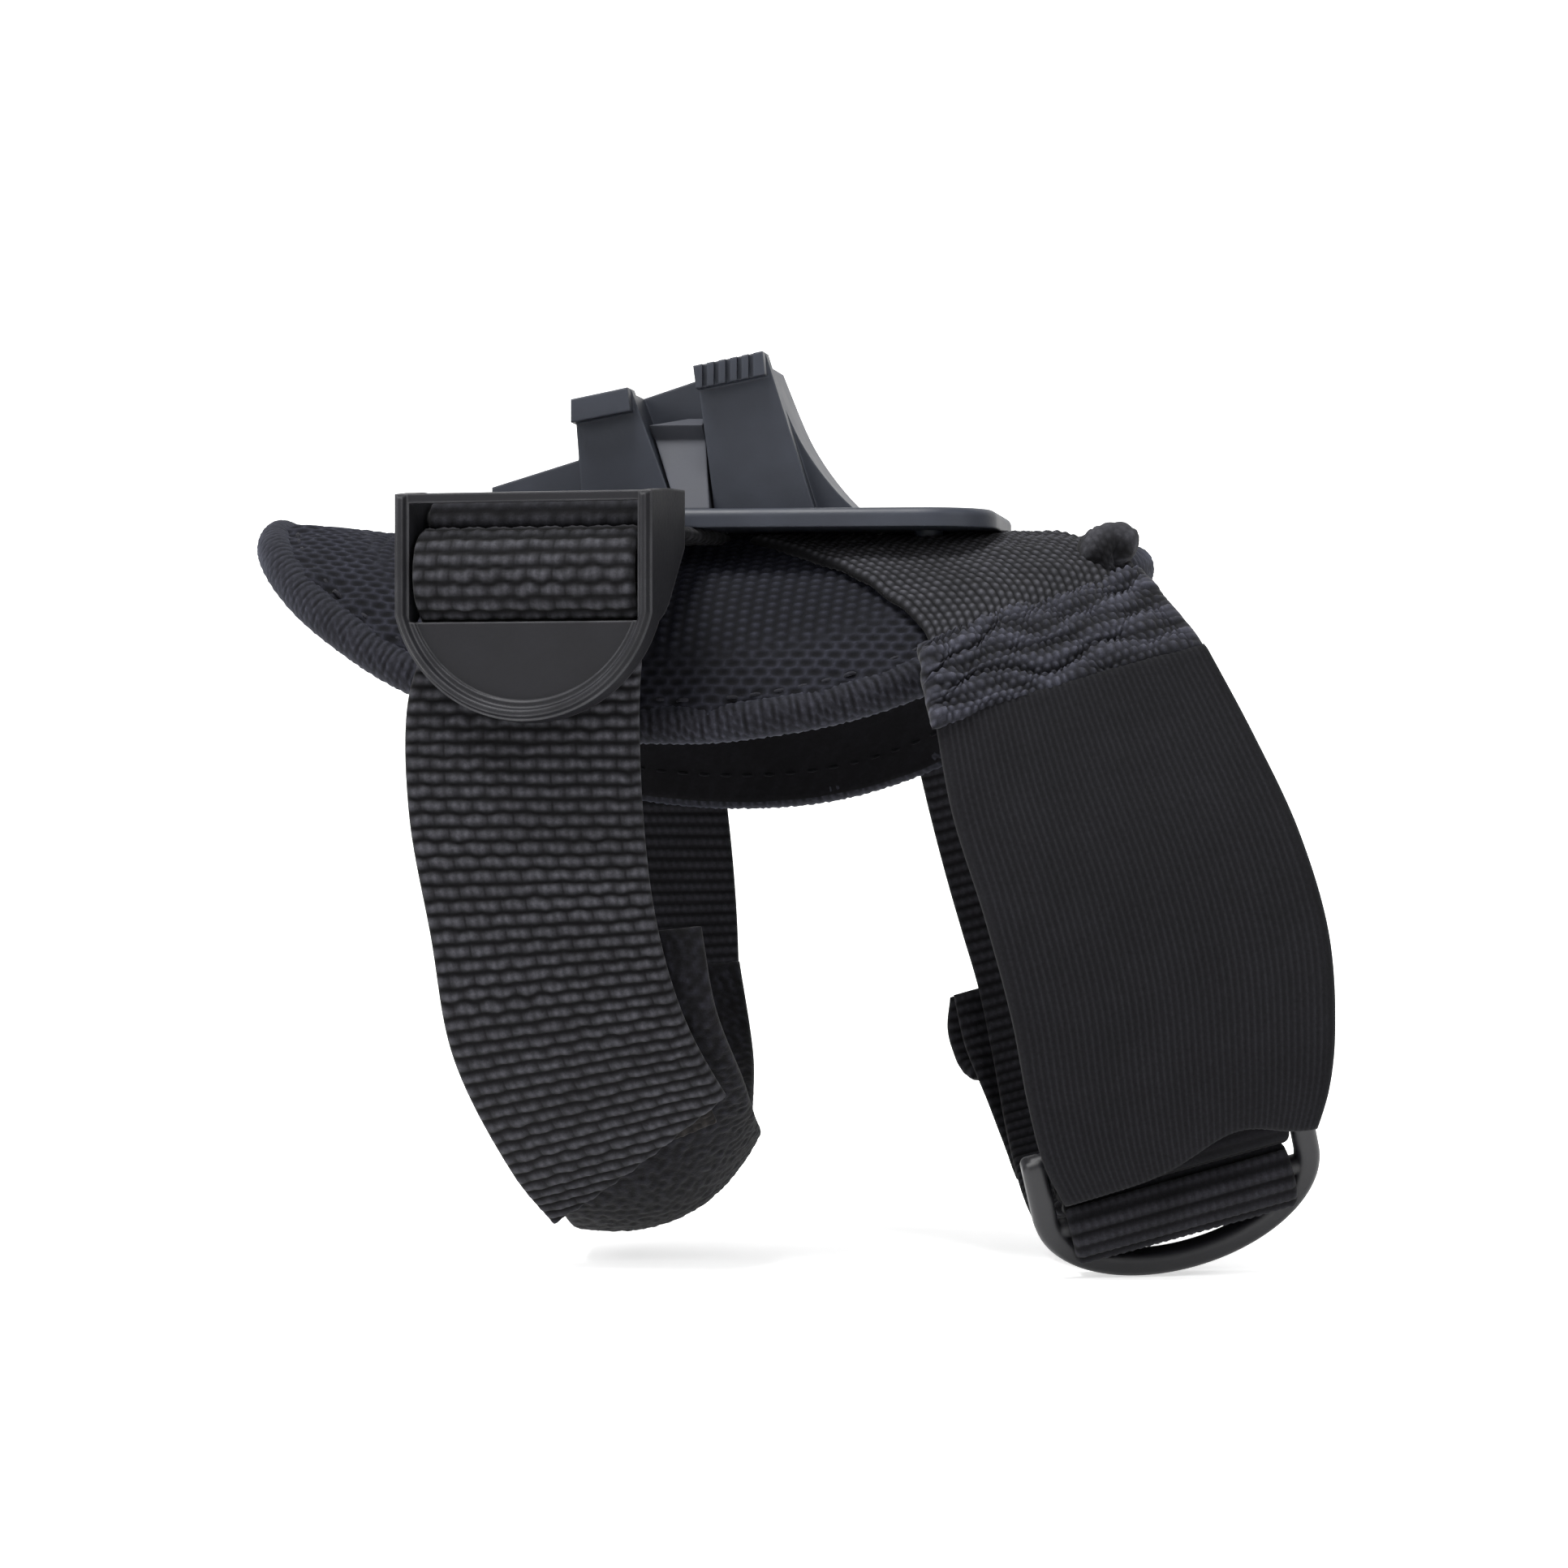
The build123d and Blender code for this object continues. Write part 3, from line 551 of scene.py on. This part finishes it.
rim_turn = np.linspace(0, 2 * pi, 900, endpoint=False)
rim_x, rim_arc = pad_place(rim_turn, 1.0)
step_length = np.hypot(np.diff(np.r_[rim_x, rim_x[0]]), np.diff(np.r_[rim_arc, rim_arc[0]]))
rim_along = np.r_[0, np.cumsum(step_length)]
even = np.linspace(0, rim_along[-1], 760, endpoint=False)
rim_turn = np.interp(even, rim_along, np.r_[rim_turn, 2 * pi])
rim_x, rim_arc = pad_place(rim_turn, 0.968)
rim_path = on_arch(rim_x, rim_arc, PAD_LINE + 0.12 * ripple(rim_x, rim_arc, 21, 0.02, 0.12))
inner_x, inner_arc = pad_place(rim_turn, 0.90)
rim_out = rim_path - on_arch(inner_x, inner_arc, PAD_LINE)
tube("edge_binding", rim_path, rim_out, 2.0, 2.35, knit_tape, 0.10, binding_cloth, "harness",
     ("pad_binding",), closed=True, around=26)

seam_x, seam_arc = pad_place(rim_turn, 0.915)
seam_path = on_arch(seam_x, seam_arc, 33.35)
seam_up = seam_path - on_arch(seam_x, seam_arc, 20.0)
seam_up = np.r_[seam_up, seam_up[:1]]
stitches("binding_stitches", np.r_[seam_path, seam_path[:1]], seam_up, thread_cloth, "harness")
lining_x, lining_arc = pad_place(rim_turn, 0.905)
lining_seam = on_arch(lining_x, lining_arc, LINING_UNDERSIDE - 0.05)
stitches("lining_stitches", np.r_[lining_seam, lining_seam[:1]], -seam_up, lining_cloth, "harness",
         2.6, 1.7, 0.16)

fold_path = follow([(42.6, -12.2, 3.0), (44.4, -11.6, 3.9), (46.4, -11.4, 4.4), (48.2, -11.8, 3.4)], 60)
fold_out = np.tile([(-0.3, -0.5, 0.8)], (60, 1))


def soft_pleats(s, turn):
    """Few lengthwise creases with a woven grain over them."""
    crease = 0.5 + 0.5 * np.sin(3 * turn + 0.5 * s)
    return np.clip(0.7 * crease + 0.3 * ridge(s / 0.8, 2.0) * hump(turn * 2 + 0.5 * np.floor(s / 0.8)), 0, 1)


tube("binding_end_fold", fold_path, fold_out, 2.5, 3.3, soft_pleats, 0.22, fine_cloth, "harness",
     ("binding_fold",), around=48)


# --- Left buckle's webbing -------------------------------------------------------------------

YAW = radians(9.0)
buckle_middle = np.array([-14.8, -36.8, 8.9])
buckle_right = np.array([cos(YAW), -sin(YAW), 0])
buckle_rear = np.array([sin(YAW), cos(YAW), 0])


def at_buckle(depth, height, half_width=WEBBING / 2):
    """Left and right edge points of webbing through the buckle."""
    middle = buckle_middle + depth * buckle_rear + np.array([0, 0, height])
    return [*(middle - half_width * buckle_right), *(middle + half_width * buckle_right)]


wrap_route = ((1.9, -15.5), (1.5, -13.2), (-0.9, -10.5), (-1.35, -7.5), (-0.4, -4.9), (1.5, -3.9),
              (3.2, -5.0), (4.1, -8), (4.2, -12))
ribbon("left_wrap_webbing", [at_buckle(*p) for p in wrap_route], 1.5, basket, 0.42, coarse_cloth,
       "left_buckle", ("left_band_wrap",), side=-1)
anchor_route = ((15, -5.2), (10, -4.9), (6.0, -3.8), (4.2, -3.6), (3.1, -2.3), (3.9, -0.7), (6.5, -0.6),
                (11, -1.9), (15, -2.9), (20, -3.1), (34, -3.1))
ribbon("left_anchor_strap", [at_buckle(*p, 12.3) for p in anchor_route], 1.3, basket, 0.35, ribbed_cloth,
       "harness", ("left_anchor_webbing",), side=-1)


# --- Left loop -------------------------------------------------------------------------------

# Rows are stations down the strap: x, y, z of the left edge, then of the right edge, then a crown
band_rows = [(-26.9, -32.9, -7.0, -2.4, -36.4, -7.0), (-28.4, -34.0, -13.0, -3.0, -34.7, -13.0),
             (-28.2, -34.3, -25.0, -2.6, -34.8, -25.0), (-25.9, -34.0, -38.0, -1.2, -34.5, -36.5),
             (-24.4, -29.5, -51.0, 1.4, -31.5, -47.0), (-19.6, -20.0, -64.4, 6.2, -25.0, -57.5),
             (-16.4, -12.0, -70.6, 9.5, -17.0, -64.0)]
ribbon("left_band_webbing", band_rows, 1.5, basket, 0.45, coarse_cloth, "left_band",
       ("left_front_band",), cut=lambda share: 0.20 * share, step=0.2, across=0.2)
hook_rows = [(-22.6, -28.2, -49.6, -2.0, -29.6, -47.2), (-17.4, -18.7, -61.4, 2.6, -23.0, -56.4),
             (-15.3, -13.5, -66.2, 3.4, -21.5, -58.6)]
ribbon("left_hook_strip", hook_rows, 0.9, pile, 0.3, hook_cloth, "left_band",
       ("left_hook_tape",))
tape_rows = [(-21.3, -30.0, -39.6, 3.1, -30.9, -37.0, 0.0), (-19.7, -28.6, -48.5, 4.3, -29.0, -45.5, 0.2),
             (-17.4, -23.0, -59.0, 6.2, -20.5, -54.0, 1.0), (-15.8, -12.0, -68.4, 6.0, -11.0, -58.4, 3.4),
             (-16.0, -1.0, -71.2, 5.0, -1.0, -60.2, 4.6), (-19.3, 13.0, -67.2, 2.4, 13.0, -60.4, 3.2),
             (-23.4, 25.6, -56.6, 0.8, 26.4, -53.4, 1.0), (-26.0, 32.2, -45.0, -1.7, 32.8, -43.0, 0.2)]
ribbon("left_tape", tape_rows, 1.6, pile, 0.25, loop_cloth, "harness", ("left_loop_tape",),
       step=0.3, across=0.3)

back_rows = [(-29.5, 2.0, 5.6, -5.5, 2.0, 5.6), (-29.5, 12.0, 3.5, -5.2, 12.0, 3.5),
             (-29.3, 22.0, -1.9, -4.9, 22.0, -1.9), (-29.0, 30.2, -11.0, -4.4, 30.2, -11.0),
             (-28.4, 34.6, -23.0, -3.6, 34.6, -23.0), (-27.6, 34.9, -31.0, -2.8, 34.9, -31.0),
             (-26.8, 34.0, -39.0, -2.2, 34.2, -38.0), (-26.2, 32.6, -46.0, -1.8, 33.0, -44.0)]
ribbon("left_rear_webbing", back_rows, 1.5, ribbed, 0.35, ribbed_cloth, "harness",
       ("left_back_strap",))


# --- Right loop ------------------------------------------------------------------------------

web_rows = [(5.0, -6.8, 5.7, 21.0, 7.5, 5.7, 0), (16.6, -16.5, 2.0, 35.0, -1.0, 6.1, 0.7),
            (22.0, -21.2, -1.3, 41.2, -4.9, 5.5, 1.3), (26.9, -26.2, -5.6, 47.0, -9.0, 3.4, 1.4),
            (27.6, -29.4, -9.4, 49.5, -13.4, 0.2, 0.8)]
ribbon("right_diagonal_webbing", web_rows, 1.4, twill, 0.28, fine_cloth, "harness",
       ("right_webbing",), step=0.2, across=0.16, rough=0.12)

cuff_rows = [(26.2, -28.3, -6.6, 49.2, -11.0, 1.9, 0.0), (26.7, -30.6, -9.2, 51.0, -14.2, -0.6, 0.3),
             (27.3, -32.2, -12.0, 53.6, -18.0, -3.4, 0.3), (28.3, -33.9, -16.0, 57.0, -22.9, -7.4, 0.0)]


def cuff_folds(s, v):
    """Mesh cloth bunched into irregular ridges that run across."""
    # The troughs between the ridges take the cloth's painted shade
    fold = 0.5 + 0.5 * np.sin(2 * pi * (s / 3.4 + 0.55 * ripple(s * 0.6, v, 31, 0.03, 0.12)))
    return np.clip(0.36 * fold + 0.64 * crumpled_knit(s, v), 0, 1)


ribbon("cuff", cuff_rows, 2.6, cuff_folds, 1.0, cuff_cloth, "harness", ("hem_cuff",), step=0.2,
       across=0.2, rough=0.25, seed=6)

neoprene_rows = [(28.4, -32.6, -14.6, 56.6, -22.4, -6.6, 0.4), (30.5, -34.2, -25.0, 62.0, -25.5, -16.5, 0.8),
                 (34.0, -34.9, -36.0, 67.0, -28.0, -27.0, 1.0), (36.8, -33.5, -47.0, 70.2, -29.0, -38.0, 1.0),
                 (38.3, -31.2, -56.0, 70.8, -29.6, -48.0, 0.8), (39.8, -29.2, -62.4, 70.2, -28.6, -53.8, 0.4),
                 (41.9, -26.8, -67.0, 68.8, -27.0, -58.6, 0.0)]
ribbon("neoprene_sleeve", neoprene_rows, 2.2, fine_ribs, 0.07, neoprene_cloth, "harness",
       ("neoprene_band",), step=0.5, across=0.14,
       cut=lambda share: 0.055 * np.exp(-((share - 0.68) / 0.2) ** 2))

RIGHT_YAW = radians(11.0)
RIGHT_LEAN = radians(15.0)
right_across = np.array([cos(RIGHT_YAW) * cos(RIGHT_LEAN), sin(RIGHT_YAW) * cos(RIGHT_LEAN), sin(RIGHT_LEAN)])
right_rearward = np.array([-sin(RIGHT_YAW), cos(RIGHT_YAW), 0])
right_up = np.cross(right_across, right_rearward)
right_origin = np.array([35.6, 0, 0])
RIGHT_DROP = -38.0
RIGHT_LINE = 32.0
# The ring's bar: its distance from the loop's middle, its direction from there, and the ring's tilt and slide
RING_LINE = 35.2
RING_PLACE = radians(38.7)
RING_TILT = radians(25)
RING_SLIDE = -3.8


def at_right(p, q, half_width=WEBBING / 2):
    """Left and right edge points of webbing in the right loop's leaning plane."""
    middle = right_origin + p * right_rearward + q * right_up
    return [*(middle - half_width * right_across), *(middle + half_width * right_across)]


def shifted(pair, slide):
    """The same two edge points, moved across the strap."""
    return [*(np.array(pair[:3]) + slide * right_across), *(np.array(pair[3:]) + slide * right_across)]


def right_arc(degrees, line=RIGHT_LINE):
    """Edge points of webbing on the right loop's round lower part."""
    return at_right(line * cos(radians(degrees)), RIGHT_DROP + line * sin(radians(degrees)))


def beside_ring(depth, height, half_width=WEBBING / 2):
    """Edge points of webbing round the ring's bars: depth to the rear of its bar, height above it."""
    bar = (-RING_LINE * cos(RING_PLACE), RIGHT_DROP - RING_LINE * sin(RING_PLACE))
    up, rear = (-sin(RING_TILT), cos(RING_TILT)), (cos(RING_TILT), sin(RING_TILT))
    p, q = (bar[k] + depth * rear[k] + height * up[k] for k in range(2))
    return shifted(at_right(p, q, half_width), RING_SLIDE)


anchor_loop = ((2.1, 4.5), (2.15, 2), (2.1, -1.8), (1.6, -3.8), (0.0, -4.4), (-1.4, -3.2), (-1.7, -0.6))
ribbon("ring_anchor_strap", [beside_ring(*p, 13) for p in anchor_loop], 1.3, ribbed, 0.2, lining_cloth,
       "harness", ("right_anchor_loop",))
ring_wrap = ((6.0, -13.6), (3.0, -12.8), (0.4, -12.4), (-1.6, -11.2), (-2.2, -9.0), (-1.5, -7.0), (0.4, -6.4),
             (2.0, -7.4))
ribbon("ring_wrap_webbing", [beside_ring(*p) for p in ring_wrap], 1.5, ribbed, 0.55, ribbed_cloth,
       "right_buckle", ("right_band_wrap",), side=-1)

# Angle round the loop and slide across it, then the free stretch up to the pad
rear_arc = ((242, -3.8), (262, -4.4), (280, -4.6), (298, -4.4), (316, -3.6), (334, -2.4), (350, -1.7))
rear_rise = ((33.4, -37.0), (34.9, -30.5), (34.4, -22.5), (30.6, -13.0), (24.0, -4.6), (14.5, 2.2))
rear_rows = [shifted(right_arc(a), slide) for a, slide in rear_arc]
rear_rows += [shifted(at_right(*spot), -1.7) for spot in rear_rise]
ribbon("right_rear_webbing", rear_rows, 1.5, ribbed, 0.35, ribbed_cloth, "harness",
       ("right_back_strap",))

tail_line = RIGHT_LINE + 1.8
tail_arc = ((305, -4.2), (316, -4.2), (328, -4.5), (340, -5.0), (350, -4.6))
tail_rows = [shifted(right_arc(a, tail_line), slide) for a, slide in tail_arc]
ribbon("right_tail_webbing", tail_rows, 1.4, ribbed, 0.3, ribbed_cloth, "right_tail",
       ("right_tail",), rough=0.12)
hem_arc = ((333, 1.6, -5.2), (338, 2.5, -6.2), (344, 2.3, -6.3), (350, 1.7, -5.0))
hem_rows = [shifted(right_arc(a, tail_line + out), slide) for a, out, slide in hem_arc]
ribbon("right_tail_hem", hem_rows, 2.2, ribbed, 0.3, ribbed_cloth, "right_tail",
       ("right_tail_fold",), rough=0.25)


# --- Floor, light and camera -----------------------------------------------------------------

def plain(name, colour, rough):
    made = bpy.data.materials.new(name)
    made.use_nodes = True
    shader = made.node_tree.nodes["Principled BSDF"]
    shader.inputs["Base Color"].default_value = (*colour, 1)
    shader.inputs["Roughness"].default_value = rough
    return made


# Metres from here on. The floor curves up into a wall behind the part.
FLOOR_Z = -0.0752
BEND = 0.5
bend_angles = [radians(a) for a in range(10, 91, 10)]
profile = [(-1.5, 0.0), (BEND, 0.0)]
profile += [(BEND + BEND * sin(a), BEND - BEND * cos(a)) for a in bend_angles] + [(1.0, 2.2)]
floor_data = bpy.data.meshes.new("studio_floor")
floor_data.from_pydata([(x, y, FLOOR_Z + z) for y, z in profile for x in (-2.0, 2.0)], [],
                       [(2 * k, 2 * k + 1, 2 * k + 3, 2 * k + 2) for k in range(len(profile) - 1)])
FLOOR_GLOW = 0.55
studio_white = plain("studio_white", (0.9, 0.9, 0.9), 0.9)
glow = studio_white.node_tree.nodes["Principled BSDF"]
glow.inputs["Emission Color"].default_value = (1, 1, 1, 1)
glow.inputs["Emission Strength"].default_value = FLOOR_GLOW
floor_data.materials.append(studio_white)
floor_data.polygons.foreach_set("use_smooth", [True] * len(floor_data.polygons))
floor = bpy.data.objects.new("studio_floor", floor_data)
bpy.context.scene.collection.objects.link(floor)

world = bpy.data.worlds.new("studio")
bpy.context.scene.world = world
world.use_nodes = True
SKY_LEVEL = 0.28
sky = world.node_tree.nodes["Background"]
sky.inputs["Color"].default_value = (1, 1, 1, 1)
sky.inputs["Strength"].default_value = SKY_LEVEL
bpy.context.scene.view_settings.view_transform = "Standard"


def lamp(name, place, aim, size, power):
    light = bpy.data.lights.new(name, "AREA")
    light.shape = "SQUARE"
    light.size = size
    light.energy = power
    made = bpy.data.objects.new(name, light)
    bpy.context.scene.collection.objects.link(made)
    made.location = place
    made.rotation_euler = (Vector(aim) - Vector(place)).to_track_quat("-Z", "Y").to_euler()


lamp("top_light", (-0.15, -0.25, 0.7), (0, 0, -0.02), 0.35, 13.0)
lamp("front_light", (-0.5, -0.7, 0.25), (0, 0, -0.03), 0.4, 3.2)
lamp("right_light", (0.6, -0.35, 0.35), (0, 0, -0.03), 0.3, 2.2)

VIEW_TURN = radians(7.5)
VIEW_DISTANCE = 577
target = Vector((7.98, 0, -21.7)) * MM
lens = bpy.data.cameras.new("camera")
lens.lens = 116.9
lens.sensor_width = 36.0
camera = bpy.data.objects.new("camera", lens)
bpy.context.scene.collection.objects.link(camera)
camera.location = target + Vector((sin(VIEW_TURN), -cos(VIEW_TURN), 0)) * VIEW_DISTANCE * MM
camera.rotation_euler = (target - camera.location).to_track_quat("-Z", "Y").to_euler()
bpy.context.scene.camera = camera
